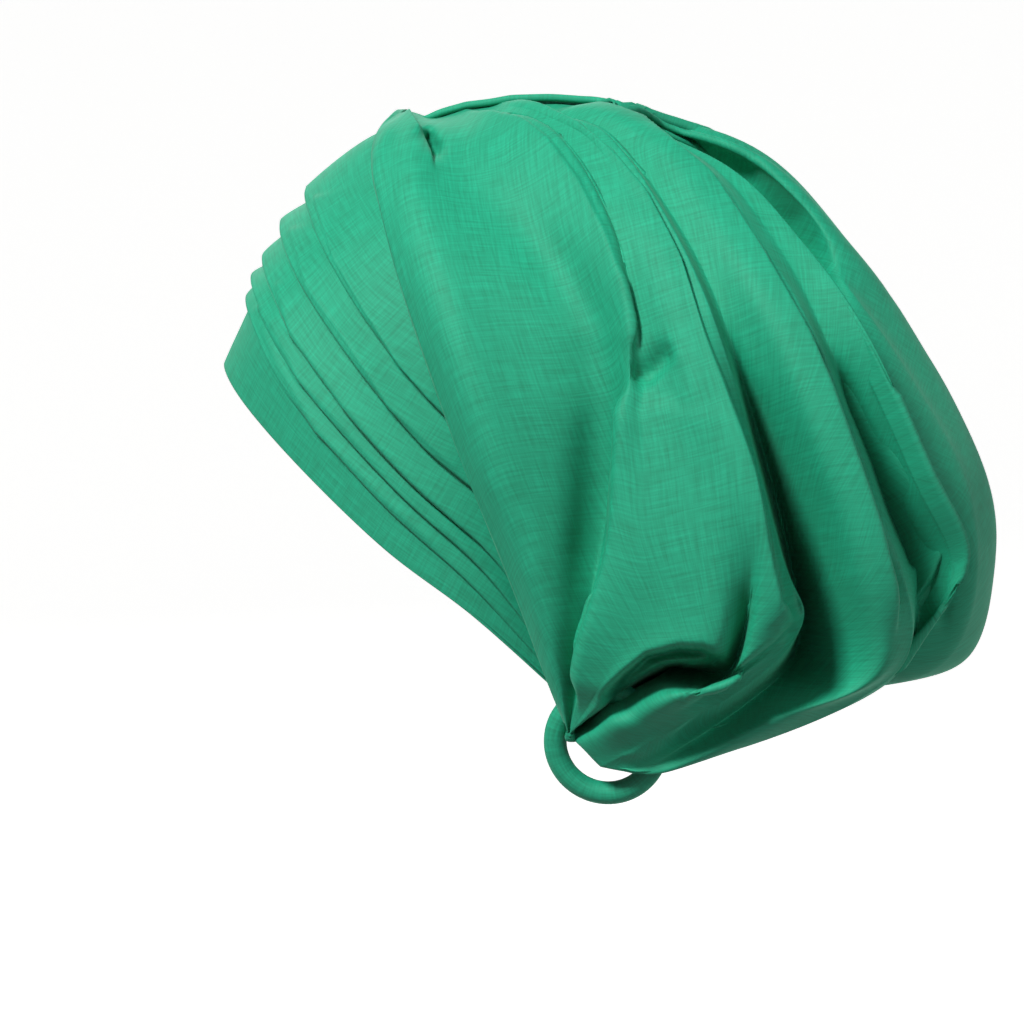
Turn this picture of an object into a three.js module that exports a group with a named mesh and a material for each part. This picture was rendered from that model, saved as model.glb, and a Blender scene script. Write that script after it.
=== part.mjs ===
import * as THREE from 'three';

// Turban headwrap with a pleated forehead band, two draped sides and a covered nape ring.
// Millimetres. Front is -Y, the wearer's left is +X, up is +Z.
// The origin is the middle of the hollow at the wrap's widest level.

// Overall sizes of the cloth
const LENGTH = 270;
const HEIGHT = 234;
const HALF_WIDTH = 96;
const CLOTH = 1.1;

// The rounded form that the band is wound to
const HEAD_HALF_LENGTH = 95;
const HEAD_HALF_WIDTH = 0.771 * HALF_WIDTH;
const HEAD_RISE = 97;
const HEAD_DROP = 215;
const HEAD_TO_HEM = 125;

// Forehead pleats
const PLEAT_STEP = 2.6;
const PLEAT_SHADOW = 1.2;
const HEM_TURN = 2.2;

// Turned-in edges of the two drapes
const TUCK_WIDTH = 7;
const TUCK_DEPTH = 5.2;

// Covered nape ring
const RING_RADIUS = 17.4;
const RING_TUBE = 3.9;
const RING_LEAN = 0.12;
const CLEARANCE = 0.35;

// Facets
const DRAPE_STEPS = 29;
const BAND_STEPS = 4;
const RING_STEPS = 30;
const RING_SIDES = 10;

// A drape's folds run from the crest over the side, turn at the bottom and come back to the nape hem.
// Every place is [along from front to back, up from the lowest cloth, out from the middle],
// as shares of LENGTH, HEIGHT and HALF_WIDTH. Parts is the number of facets before the fold.
// Lap is how high the right drape's crest passes over this fold.
const DRAPE_STATIONS = ['crest', 'shoulder', 'upper', 'side', 'lower', 'turn', 'under', 'gather', 'hem'];

const LEFT_FOLDS = [
  { fold: 'front_edge', lap: 0.984, parts: 1, round: 0.4,
    crest: [0.228, 0.964, -0.02], shoulder: [0.216, 0.915, 0.38], upper: [0.260, 0.769, 0.71], side: [0.320, 0.594, 0.84],
    lower: [0.383, 0.401, 0.85], turn: [0.425, 0.272, 0.82], under: [0.455, 0.173, 0.79], gather: [0.479, 0.095, 0.73],
    hem: [0.486, 0.080, 0.69] },
  { fold: 'front_bulge', lap: 0.981, parts: 3, round: 1,
    crest: [0.252, 0.966, -0.03], shoulder: [0.262, 0.922, 0.44], upper: [0.318, 0.774, 0.80], side: [0.377, 0.600, 0.94],
    lower: [0.432, 0.405, 0.94], turn: [0.461, 0.275, 0.90], under: [0.474, 0.175, 0.83], gather: [0.482, 0.094, 0.75],
    hem: [0.488, 0.079, 0.70] },
  { fold: 'front_hollow', lap: 0.976, parts: 3, round: 1,
    crest: [0.276, 0.962, -0.03], shoulder: [0.314, 0.926, 0.38], upper: [0.434, 0.764, 0.74], side: [0.504, 0.596, 0.85],
    lower: [0.532, 0.400, 0.81], turn: [0.520, 0.271, 0.79], under: [0.500, 0.173, 0.77], gather: [0.483, 0.091, 0.73],
    hem: [0.490, 0.078, 0.68] },
  { fold: 'first_pleat', lap: 0.982, parts: 2, round: 0.2,
    crest: [0.312, 0.973, -0.02], shoulder: [0.443, 0.934, 0.40], upper: [0.532, 0.795, 0.76], side: [0.565, 0.614, 0.92],
    lower: [0.554, 0.405, 0.95], turn: [0.532, 0.277, 0.93], under: [0.509, 0.177, 0.86], gather: [0.485, 0.091, 0.74],
    hem: [0.492, 0.077, 0.69] },
  { fold: 'first_step', lap: 0.984, parts: 1, round: 0.3,
    crest: [0.319, 0.969, -0.02], shoulder: [0.448, 0.926, 0.35], upper: [0.539, 0.788, 0.69], side: [0.583, 0.604, 0.87],
    lower: [0.589, 0.406, 0.97], turn: [0.582, 0.278, 0.96], under: [0.538, 0.177, 0.88], gather: [0.486, 0.091, 0.75],
    hem: [0.493, 0.077, 0.69] },
  { fold: 'side_panel', lap: 0.988, parts: 2, round: 0.8,
    crest: [0.348, 0.977, -0.02], shoulder: [0.486, 0.922, 0.40], upper: [0.588, 0.783, 0.75], side: [0.641, 0.599, 0.93],
    lower: [0.668, 0.399, 1.00], turn: [0.673, 0.230, 0.98], under: [0.592, 0.179, 0.91], gather: [0.488, 0.090, 0.75],
    hem: [0.494, 0.077, 0.69] },
  { fold: 'pocket', parts: 1, round: 0.8,
    crest: [0.357, 0.978, -0.02], shoulder: [0.498, 0.927, 0.40], upper: [0.600, 0.786, 0.74], side: [0.664, 0.604, 0.93],
    lower: [0.713, 0.384, 1.00], turn: [0.708, 0.194, 0.90], under: [0.596, 0.135, 0.74], gather: [0.487, 0.085, 0.71],
    hem: [0.495, 0.074, 0.67] },
  { fold: 'lower_roll', parts: 1, round: 1,
    crest: [0.365, 0.979, -0.02], shoulder: [0.504, 0.931, 0.39], upper: [0.608, 0.790, 0.73], side: [0.678, 0.607, 0.94],
    lower: [0.735, 0.372, 1.00], turn: [0.755, 0.202, 0.94], under: [0.626, 0.117, 0.90], gather: [0.506, 0.063, 0.76],
    hem: [0.512, 0.062, 0.71] },
  { fold: 'second_pleat', lap: 0.992, parts: 1, round: 0.2,
    crest: [0.373, 0.980, -0.02], shoulder: [0.510, 0.934, 0.38], upper: [0.615, 0.794, 0.73], side: [0.690, 0.610, 0.93],
    lower: [0.754, 0.361, 0.98], turn: [0.792, 0.216, 0.90], under: [0.660, 0.124, 0.84], gather: [0.531, 0.044, 0.74],
    hem: [0.545, 0.056, 0.71] },
  { fold: 'second_step', lap: 0.993, parts: 1, round: 0.6,
    crest: [0.384, 0.974, -0.02], shoulder: [0.517, 0.926, 0.33], upper: [0.626, 0.786, 0.66], side: [0.711, 0.605, 0.81],
    lower: [0.771, 0.360, 0.76], turn: [0.786, 0.194, 0.66], under: [0.697, 0.121, 0.70], gather: [0.574, 0.033, 0.71],
    hem: [0.590, 0.050, 0.68] },
  { fold: 'rear_panel', lap: 0.998, parts: 3, round: 1,
    crest: [0.425, 0.979, -0.02], shoulder: [0.568, 0.923, 0.37], upper: [0.674, 0.785, 0.67], side: [0.760, 0.615, 0.84],
    lower: [0.829, 0.379, 0.87], turn: [0.855, 0.188, 0.76], under: [0.738, 0.112, 0.74], gather: [0.609, 0.033, 0.70],
    hem: [0.622, 0.058, 0.64] },
  { fold: 'third_pleat', lap: 0.997, parts: 1, round: 0.2,
    crest: [0.456, 0.979, -0.02], shoulder: [0.624, 0.907, 0.34], upper: [0.721, 0.778, 0.61], side: [0.800, 0.629, 0.79],
    lower: [0.870, 0.423, 0.82], turn: [0.906, 0.228, 0.69], under: [0.835, 0.134, 0.64], gather: [0.673, 0.058, 0.66],
    hem: [0.665, 0.085, 0.56] },
  { fold: 'third_step', lap: 0.996, parts: 1, round: 0.5,
    crest: [0.467, 0.973, -0.02], shoulder: [0.636, 0.901, 0.29], upper: [0.738, 0.775, 0.54], side: [0.819, 0.624, 0.68],
    lower: [0.898, 0.416, 0.66], turn: [0.930, 0.289, 0.58], under: [0.880, 0.163, 0.53], gather: [0.734, 0.088, 0.58],
    hem: [0.690, 0.105, 0.48] },
  { fold: 'rear_edge', parts: 2, round: 0.6,
    crest: [0.487, 0.973, -0.02], shoulder: [0.660, 0.897, 0.29], upper: [0.761, 0.791, 0.50], side: [0.847, 0.661, 0.64],
    lower: [0.925, 0.469, 0.62], turn: [0.970, 0.337, 0.50], under: [0.911, 0.225, 0.50], gather: [0.806, 0.124, 0.52],
    hem: [0.700, 0.118, 0.38] },
];

// The right drape repeats these folds of the left one on the other side, then goes round the back.
const MIRRORED = ['front_edge', 'front_bulge', 'front_hollow', 'first_pleat', 'first_step', 'side_panel',
  'second_pleat', 'second_step', 'rear_panel', 'third_pleat', 'third_step'];
const CROSSING = 0.05;

const BACK_FOLDS = [
  { fold: 'back_right', parts: 2, round: 1,
    crest: [0.483, 0.996, 0.03], shoulder: [0.668, 0.912, -0.36], upper: [0.780, 0.770, -0.52], side: [0.865, 0.595, -0.58],
    lower: [0.923, 0.407, -0.58], turn: [0.926, 0.258, -0.52], under: [0.880, 0.160, -0.44], gather: [0.790, 0.112, -0.38],
    hem: [0.664, 0.118, -0.30] },
  { fold: 'back_ridge', parts: 3, round: 1,
    crest: [0.498, 0.994, 0.04], shoulder: [0.692, 0.903, -0.14], upper: [0.808, 0.768, -0.14], side: [0.914, 0.602, -0.12],
    lower: [0.987, 0.430, -0.08], turn: [0.997, 0.297, -0.02], under: [0.962, 0.168, 0.00], gather: [0.846, 0.132, 0.00],
    hem: [0.676, 0.122, -0.10] },
  { fold: 'back_roll', parts: 2, round: 0.8,
    crest: [0.506, 0.988, 0.04], shoulder: [0.680, 0.880, 0.05], upper: [0.795, 0.742, 0.15], side: [0.894, 0.590, 0.23],
    lower: [0.968, 0.435, 0.31], turn: [0.980, 0.285, 0.33], under: [0.938, 0.174, 0.28], gather: [0.836, 0.133, 0.24],
    hem: [0.678, 0.124, 0.06] },
  { fold: 'back_slit', parts: 1, round: 0.8,
    crest: [0.508, 0.958, 0.03], shoulder: [0.662, 0.862, 0.12], upper: [0.762, 0.735, 0.26], side: [0.852, 0.598, 0.40],
    lower: [0.932, 0.438, 0.44], turn: [0.952, 0.295, 0.40], under: [0.892, 0.200, 0.40], gather: [0.800, 0.146, 0.36],
    hem: [0.694, 0.130, 0.22] },
];

// A forehead pleat runs from its left end over the front and back down the right side.
// Every place is [along, up]; how far out it lies comes from the rounded form. Layers counts the cloth under it.
const BAND_STATIONS = ['end', 'ear', 'cheek', 'temple', 'brow', 'centre'];

const BAND_PLEATS = [
  { pleat: 'hem', layers: 0.2, parts: 1,
    end: [0.458, 0.150], ear: [0.361, 0.255], cheek: [0.250, 0.349], temple: [0.130, 0.468], brow: [0.040, 0.560], centre: [0.001, 0.601] },
  { pleat: 'first', layers: 1.0, parts: 3,
    end: [0.459, 0.172], ear: [0.362, 0.302], cheek: [0.247, 0.421], temple: [0.129, 0.563], brow: [0.068, 0.663], centre: [0.039, 0.700] },
  { pleat: 'second', layers: 1.3, parts: 1,
    end: [0.462, 0.187], ear: [0.379, 0.320], cheek: [0.266, 0.442], temple: [0.150, 0.580], brow: [0.080, 0.687], centre: [0.048, 0.729] },
  { pleat: 'third', layers: 1.5, parts: 1,
    end: [0.466, 0.204], ear: [0.389, 0.344], cheek: [0.284, 0.462], temple: [0.172, 0.599], brow: [0.099, 0.710], centre: [0.064, 0.757] },
  { pleat: 'fourth', layers: 1.6, parts: 2,
    end: [0.477, 0.242], ear: [0.400, 0.401], cheek: [0.301, 0.507], temple: [0.203, 0.636], brow: [0.126, 0.746], centre: [0.087, 0.805] },
  { pleat: 'fifth', layers: 1.6, parts: 2,
    end: [0.496, 0.287], ear: [0.420, 0.453], cheek: [0.321, 0.559], temple: [0.229, 0.680], brow: [0.158, 0.790], centre: [0.119, 0.852] },
  { pleat: 'crown', layers: 0.6, parts: 3,
    end: [0.515, 0.332], ear: [0.451, 0.512], cheek: [0.357, 0.675], temple: [0.273, 0.815], brow: [0.225, 0.900], centre: [0.200, 0.935] },
  { pleat: 'cap_edge', layers: 0, parts: 2,
    end: [0.530, 0.372], ear: [0.480, 0.560], cheek: [0.400, 0.740], temple: [0.330, 0.880], brow: [0.300, 0.930], centre: [0.290, 0.948] },
];
const PLEAT_TAPER = { end: 0.3, ear: 0.5, cheek: 0.7, temple: 0.9, brow: 1, centre: 1 };

const place = ([along, up, out]) => new THREE.Vector3(
  out * HALF_WIDTH, along * LENGTH - HEAD_HALF_LENGTH, up * HEIGHT - HEAD_TO_HEM);

// A smooth line through a fold's stations, at a share of its length. Level is true where it starts
// level at the crest, as if the cloth went on over the other side.
function pointOn({ line, level }, share) {
  const spans = line.length - 1;
  const span = Math.min(Math.floor(share * spans), spans - 1);
  const w = share * spans - span;
  const before = level ? new THREE.Vector3(2 * line[0].x - line[1].x, line[1].y, line[1].z) : line[0];
  const at = (i) => (i < 0 ? before : line[Math.min(i, spans)]);
  const [a, b, c, d] = [at(span - 1), at(span), at(span + 1), at(span + 2)];
  return new THREE.Vector3()
    .addScaledVector(a, -0.5 * w + w * w - 0.5 * w ** 3)
    .addScaledVector(b, 1 - 2.5 * w * w + 1.5 * w ** 3)
    .addScaledVector(c, 0.5 * w + 2 * w * w - 1.5 * w ** 3)
    .addScaledVector(d, -0.5 * w * w + 0.5 * w ** 3);
}

// The cloth between fold k and the next one: rounded where both are round, straight at a crease.
function pointBetween(folds, k, w, share) {
  const at = (i) => pointOn(folds[Math.min(Math.max(i, 0), folds.length - 1)], share);
  const [a, b, c, d] = [at(k - 1), at(k), at(k + 1), at(k + 2)];
  const chord = c.clone().sub(b);
  const slope = (before, after, round) => chord.clone()
    .lerp(after.clone().sub(before).multiplyScalar(0.5), round).clampLength(0, 1.5 * chord.length());
  const out = slope(a, c, folds[k].round);
  const into = slope(b, d, folds[k + 1].round);
  const w2 = w * w;
  const w3 = w2 * w;
  return new THREE.Vector3()
    .addScaledVector(b, 2 * w3 - 3 * w2 + 1)
    .addScaledVector(out, w3 - 2 * w2 + w)
    .addScaledVector(c, -2 * w3 + 3 * w2)
    .addScaledVector(into, w3 - w2);
}

// A closed cloth wall: the folded face, the same face one cloth thickness inside it, and its rim.
function clothWall(folds, steps, flip) {
  const columns = [];
  for (let k = 0; k < folds.length - 1; k++) {
    for (let i = 0; i < folds[k + 1].parts; i++) columns.push([k, i / folds[k + 1].parts]);
  }
  columns.push([folds.length - 2, 1]);
  const face = columns.map(([k, w]) => Array.from({ length: steps + 1 },
    (_, j) => pointBetween(folds, k, w, j / steps)));
  const wide = columns.length;
  const tall = steps + 1;
  const normal = (i, j) => {
    const u = face[Math.min(i + 1, wide - 1)][j].clone().sub(face[Math.max(i - 1, 0)][j]);
    const v = face[i][Math.min(j + 1, tall - 1)].clone().sub(face[i][Math.max(j - 1, 0)]);
    return (flip ? v.cross(u) : u.cross(v)).normalize();
  };
  const vertices = [];
  face.forEach((column) => column.forEach((p) => vertices.push(p.x, p.y, p.z)));
  face.forEach((column, i) => column.forEach((p, j) => {
    const q = p.clone().addScaledVector(normal(i, j), -CLOTH);
    vertices.push(q.x, q.y, q.z);
  }));
  const outer = (i, j) => i * tall + j;
  const inner = (i, j) => wide * tall + i * tall + j;
  const faces = [];
  const quad = (a, b, c, d) => (flip ? faces.push(a, c, b, a, d, c) : faces.push(a, b, c, a, c, d));
  for (let i = 0; i < wide - 1; i++) {
    for (let j = 0; j < tall - 1; j++) {
      quad(outer(i, j), outer(i + 1, j), outer(i + 1, j + 1), outer(i, j + 1));
      quad(inner(i, j), inner(i, j + 1), inner(i + 1, j + 1), inner(i + 1, j));
    }
    quad(outer(i, 0), inner(i, 0), inner(i + 1, 0), outer(i + 1, 0));
    quad(outer(i, steps), outer(i + 1, steps), inner(i + 1, steps), inner(i, steps));
  }
  for (let j = 0; j < tall - 1; j++) {
    quad(outer(0, j), outer(0, j + 1), inner(0, j + 1), inner(0, j));
    quad(outer(wide - 1, j), inner(wide - 1, j), inner(wide - 1, j + 1), outer(wide - 1, j + 1));
  }
  const geometry = new THREE.BufferGeometry();
  geometry.setAttribute('position', new THREE.Float32BufferAttribute(vertices, 3));
  geometry.setIndex(faces);
  geometry.computeVertexNormals();
  return geometry;
}

function drapeLine(row) {
  return { line: DRAPE_STATIONS.map((station) => place(row[station])), level: true, round: row.round, parts: row.parts };
}

// The same fold on the right side. Its crest laps over the left drape.
function mirroredLine(row) {
  const line = DRAPE_STATIONS.map((station) => {
    const [along, up, out] = row[station];
    return station === 'crest' ? place([along, row.lap, CROSSING]) : place([along, up, -out]);
  });
  return { line, level: true, round: row.round, parts: row.parts };
}

// The edge of a drape is turned in under itself, towards the fold next to it.
function turnedEdge(edge, next, side) {
  const line = edge.line.map((p, j) => {
    const inward = next.line[j].clone().sub(p);
    inward.x = 0;
    inward.setLength(Math.min(TUCK_WIDTH, inward.length() * 0.5));
    return p.clone().add(inward).add(new THREE.Vector3(-side * TUCK_DEPTH, 0, 0));
  });
  return { line, level: true, round: 1, parts: 1 };
}

function leftDrape() {
  const folds = LEFT_FOLDS.map((row) => drapeLine(row));
  folds.unshift(turnedEdge(folds[0], folds[1], 1));
  folds.push(turnedEdge(folds.at(-1), folds.at(-2), 0.5));
  folds.at(-1).parts = 1;
  return clothWall(folds, DRAPE_STEPS, true);
}

// The right drape's back edge runs on beneath these folds of the left one, this many millimetres in.
const UNDERLAP = [{ fold: 'rear_edge', depth: 7, parts: 2 }, { fold: 'third_step', depth: 8.2, parts: 1 },
  { fold: 'third_pleat', depth: 9, parts: 1 }];
const HOLLOW_CENTRE = new THREE.Vector3(0, 25, 0);

function underlapLine({ fold, depth, parts }) {
  const row = LEFT_FOLDS.find((candidate) => candidate.fold === fold);
  const line = drapeLine(row).line.map((p) => {
    const inward = HOLLOW_CENTRE.clone().sub(p).setLength(depth);
    return p.clone().add(inward);
  });
  return { line, level: true, round: 0.8, parts };
}

function rightDrape() {
  const mirrored = LEFT_FOLDS.filter((row) => MIRRORED.includes(row.fold)).map(mirroredLine);
  const folds = [...mirrored, ...BACK_FOLDS.map((row) => drapeLine(row)), ...UNDERLAP.map((row) => underlapLine(row))];
  folds.unshift(turnedEdge(folds[0], folds[1], -1));
  return clothWall(folds, DRAPE_STEPS, false);
}

// Where the band lies on its rounded form, at a place in the side view, this much proud of it.
function onHead(along, up, proud) {
  const y = along * LENGTH - HEAD_HALF_LENGTH;
  const z = up * HEIGHT - HEAD_TO_HEM;
  const reach = z > 0 ? HEAD_RISE : HEAD_DROP;
  const left = 1 - (y / HEAD_HALF_LENGTH) ** 2 - (z / reach) ** 2;
  const x = HEAD_HALF_WIDTH * Math.sqrt(Math.max(left, 0));
  const outward = new THREE.Vector3(x / HEAD_HALF_WIDTH ** 2, y / HEAD_HALF_LENGTH ** 2, z / reach ** 2);
  return new THREE.Vector3(x, y, z).addScaledVector(outward.normalize(), proud);
}

function bandLine(row, proud, slide, parts) {
  const half = BAND_STATIONS.map((station) => {
    const [along, up] = row[station];
    const p = onHead(along, up - slide / HEIGHT, proud * PLEAT_TAPER[station]);
    if (station === 'centre') p.x = 0;
    return p;
  });
  const other = half.slice(0, -1).reverse().map((p) => new THREE.Vector3(-p.x, p.y, p.z));
  return { line: [...half, ...other], round: 0.3, parts };
}

function foreheadBand() {
  const folds = [];
  BAND_PLEATS.forEach((row, i) => {
    const proud = row.layers * PLEAT_STEP;
    if (i === 0) folds.push(bandLine(row, -HEM_TURN, -HEM_TURN, 1));
    if (i > 0 && row.pleat !== 'crown') folds.push(bandLine(row, 0.2, PLEAT_SHADOW, row.parts));
    folds.push(bandLine(row, proud, 0, i > 0 && row.pleat !== 'crown' ? 1 : row.parts));
  });
  return clothWall(folds, BAND_STEPS * 2 * (BAND_STATIONS.length - 1), false);
}

// A cord covered with the same cloth, closed to a ring that lies flat behind the left gather.
function napeRing() {
  const profile = Array.from({ length: RING_SIDES + 1 }, (_, i) => {
    const turn = (i / RING_SIDES) * 2 * Math.PI;
    return new THREE.Vector2(RING_RADIUS + RING_TUBE * Math.cos(turn), RING_TUBE * Math.sin(turn));
  });
  return new THREE.LatheGeometry(profile, RING_STEPS);
}

const green = new THREE.MeshStandardMaterial({ color: 0x1fa877, roughness: 0.62, metalness: 0 });
const turban = new THREE.Group();

function addPiece(name, geometry) {
  const mesh = new THREE.Mesh(geometry, green.clone());
  mesh.name = name;
  turban.add(mesh);
  return mesh;
}

addPiece('forehead_band', foreheadBand());
addPiece('left_drape', leftDrape());
addPiece('right_drape', rightDrape());
const ring = addPiece('nape_ring', napeRing());
const apex = place([0.526, 0.068, 0.73]);
ring.rotation.set(0, RING_LEAN, -Math.PI / 2);
ring.position.set(apex.x - CLOTH - CLEARANCE - RING_TUBE - 3.9, apex.y, apex.z);

export default turban;
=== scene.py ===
import math

import bmesh
import bpy
import numpy as np
from mathutils import Matrix, Vector


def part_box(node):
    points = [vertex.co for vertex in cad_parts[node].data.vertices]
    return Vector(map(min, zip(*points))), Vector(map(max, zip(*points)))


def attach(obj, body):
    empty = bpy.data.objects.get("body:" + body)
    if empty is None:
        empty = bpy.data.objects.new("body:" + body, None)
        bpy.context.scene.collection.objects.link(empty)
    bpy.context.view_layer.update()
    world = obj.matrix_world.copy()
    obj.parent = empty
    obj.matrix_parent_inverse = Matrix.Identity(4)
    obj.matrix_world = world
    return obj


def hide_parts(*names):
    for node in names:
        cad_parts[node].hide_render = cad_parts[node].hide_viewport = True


# Pre-tied turban headwrap in emerald woven cloth, in the shape it has when worn.
# Lengths are in metres. Front is -Y, the wearer's left is +X, up is +Z.
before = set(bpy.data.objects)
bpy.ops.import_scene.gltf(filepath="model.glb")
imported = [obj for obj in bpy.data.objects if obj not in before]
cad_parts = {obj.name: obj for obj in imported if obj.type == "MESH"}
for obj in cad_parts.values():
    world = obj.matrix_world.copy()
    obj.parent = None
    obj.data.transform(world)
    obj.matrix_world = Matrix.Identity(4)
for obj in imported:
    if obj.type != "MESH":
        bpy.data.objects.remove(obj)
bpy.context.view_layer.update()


# Camera
# It looks at the wrap from the wearer's left, from a little behind and a little above.
# The photograph shows 0.35 mm to a pixel, with the wrap's origin left of and above its middle.
PIXEL = 0.00035
PHOTO_PIXELS = 1024
SENSOR_WIDTH = 36
CAMERA_AZIMUTH = math.radians(98)
CAMERA_ELEVATION = math.radians(5)
CAMERA_DISTANCE = 1.5
CENTRE_RIGHT = 18 * PIXEL
CENTRE_DOWN = 105 * PIXEL

back = Vector((
    math.sin(CAMERA_AZIMUTH) * math.cos(CAMERA_ELEVATION),
    -math.cos(CAMERA_AZIMUTH) * math.cos(CAMERA_ELEVATION),
    math.sin(CAMERA_ELEVATION),
))
camera = bpy.data.objects.new("studio_camera", bpy.data.cameras.new("studio_camera"))
bpy.context.scene.collection.objects.link(camera)
bpy.context.scene.camera = camera
camera.rotation_mode = "QUATERNION"
camera.rotation_quaternion = (-back).to_track_quat("-Z", "Y")
across_view = camera.rotation_quaternion @ Vector((1, 0, 0))
up_view = camera.rotation_quaternion @ Vector((0, 1, 0))
camera.location = back * CAMERA_DISTANCE + across_view * CENTRE_RIGHT - up_view * CENTRE_DOWN
camera.data.sensor_width = SENSOR_WIDTH
camera.data.lens = SENSOR_WIDTH * CAMERA_DISTANCE / (PHOTO_PIXELS * PIXEL)


# Studio
# A pale floor that curves up into a round backdrop, so every view has the same plain ground.
# The wrap is held at the height at which it is worn, well clear of the floor.
FLOOR_LEVEL = -0.42
SWEEP_RADIUS = 3.2
SWEEP_CURVE = 1.2
SWEEP_HEIGHT = 3.0
CURVE_STEPS = 12
ROUND_STEPS = 64
PALE_PAINT = "#F4F4F2"
PAINT_ROUGHNESS = 0.9
PAINT_GLOW = 0.68


def hex_colour(code):
    """sRGB hex to linear colour with full alpha."""
    parts = [int(code[i:i + 2], 16) / 255 for i in (1, 3, 5)]
    linear = [c / 12.92 if c <= 0.04045 else ((c + 0.055) / 1.055) ** 2.4 for c in parts]
    return (*linear, 1.0)


def add_node(material, kind, settings=None, links=None):
    """One shader node with its settings, and its inputs linked from other nodes' outputs."""
    node = material.node_tree.nodes.new(kind)
    for name, value in (settings or {}).items():
        if isinstance(name, int) or name in node.inputs:
            node.inputs[name].default_value = value
        else:
            setattr(node, name, value)
    for name, output in (links or {}).items():
        material.node_tree.links.new(output, node.inputs[name])
    return node


def add_object(name, shape, material):
    """A named object at the origin with this bmesh and this material."""
    mesh = bpy.data.meshes.new(name)
    shape.to_mesh(mesh)
    shape.free()
    mesh.materials.append(material)
    piece = bpy.data.objects.new(name, mesh)
    bpy.context.scene.collection.objects.link(piece)
    for face in mesh.polygons:
        face.use_smooth = True
    return piece


# Matt wall paint, rolled on: an even pale ground with no glint. Its own glow stands for a lit backdrop.
paint = bpy.data.materials.new("matt_pale_paint")
paint.use_nodes = True
paint_surface = paint.node_tree.nodes["Principled BSDF"]
paint_surface.inputs["Base Color"].default_value = hex_colour(PALE_PAINT)
paint_surface.inputs["Roughness"].default_value = PAINT_ROUGHNESS
paint_surface.inputs["Emission Color"].default_value = (1, 1, 1, 1)
paint_surface.inputs["Emission Strength"].default_value = PAINT_GLOW

sweep = bmesh.new()
profile = [(0.0, 0.0), (SWEEP_RADIUS - SWEEP_CURVE, 0.0)]
for step in range(1, CURVE_STEPS + 1):
    turn = math.radians(90) * step / CURVE_STEPS
    outwards = SWEEP_RADIUS - SWEEP_CURVE + SWEEP_CURVE * math.sin(turn)
    profile.append((outwards, SWEEP_CURVE * (1 - math.cos(turn))))
profile.append((SWEEP_RADIUS, SWEEP_HEIGHT))
rim = [sweep.verts.new((r, 0, FLOOR_LEVEL + h)) for r, h in profile]
for a, b in zip(rim, rim[1:]):
    sweep.edges.new((a, b))
bmesh.ops.spin(sweep, geom=sweep.verts[:] + sweep.edges[:], axis=(0, 0, 1), cent=(0, 0, 0),
               steps=ROUND_STEPS, angle=math.tau, use_merge=True)
bmesh.ops.remove_doubles(sweep, verts=sweep.verts, dist=1e-5)
bmesh.ops.recalc_face_normals(sweep, faces=sweep.faces)
bmesh.ops.reverse_faces(sweep, faces=sweep.faces)
studio_floor = add_object("studio_floor", sweep, paint)
studio_floor.visible_diffuse = False

# A key soft box above the camera, weaker ones on the far side and behind, and pale air all round.
AIR_LIGHT = 0.08
SOFT_BOXES = [
    dict(name="key_soft_box", place=(1.3, -0.65, 1.35), watts=54, size=0.35),
    dict(name="side_soft_box", place=(-1.5, -0.5, 1.0), watts=12, size=1.0),
    dict(name="back_soft_box", place=(0.95, 1.5, 0.7), watts=9, size=0.7),
]
for row in SOFT_BOXES:
    lamp = bpy.data.lights.new(row["name"], "AREA")
    lamp.energy = row["watts"]
    lamp.size = row["size"]
    box = bpy.data.objects.new(row["name"], lamp)
    bpy.context.scene.collection.objects.link(box)
    box.location = row["place"]
    box.rotation_euler = (Vector((0, 0.04, 0)) - box.location).to_track_quat("-Z", "Y").to_euler()
world = bpy.data.worlds.new("studio_air")
world.use_nodes = True
world.node_tree.nodes["Background"].inputs["Color"].default_value = (1, 1, 1, 1)
world.node_tree.nodes["Background"].inputs["Strength"].default_value = AIR_LIGHT
bpy.context.scene.world = world
bpy.context.scene.view_settings.view_transform = "Standard"


# Emerald cloth
# Plain-woven cotton with a slight satin finish, all pieces cut from the same length.
# Each piece's UV map is the flat cloth in metres, so the threads follow the cloth.
BRIGHT_EMERALD = "#129E79"
DEEP_EMERALD = "#0C7E5D"
SHEEN_TINT = "#8FE0BC"
THREAD_SPACING = 0.0008  # drawn coarser than the real 0.4 mm so that it shows
SLUB_LENGTH = 0.016
WEAVE_DARK = 0.65
WEAVE_LIGHT = 1.35
WEAVE_BUMP = 0.3
WEAVE_RELIEF = 0.00015
CLOTH_ROUGHNESS = 0.7
CLOTH_SPECULAR = 0.3
CLOTH_SHEEN = 0.12
SHEEN_ROUGHNESS = 0.4
CLOTH_THICKNESS = 0.0011
# A Mix node's sockets for colours.
MIX_FIRST = 6
MIX_SECOND = 7
MIX_RESULT = 2


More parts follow.
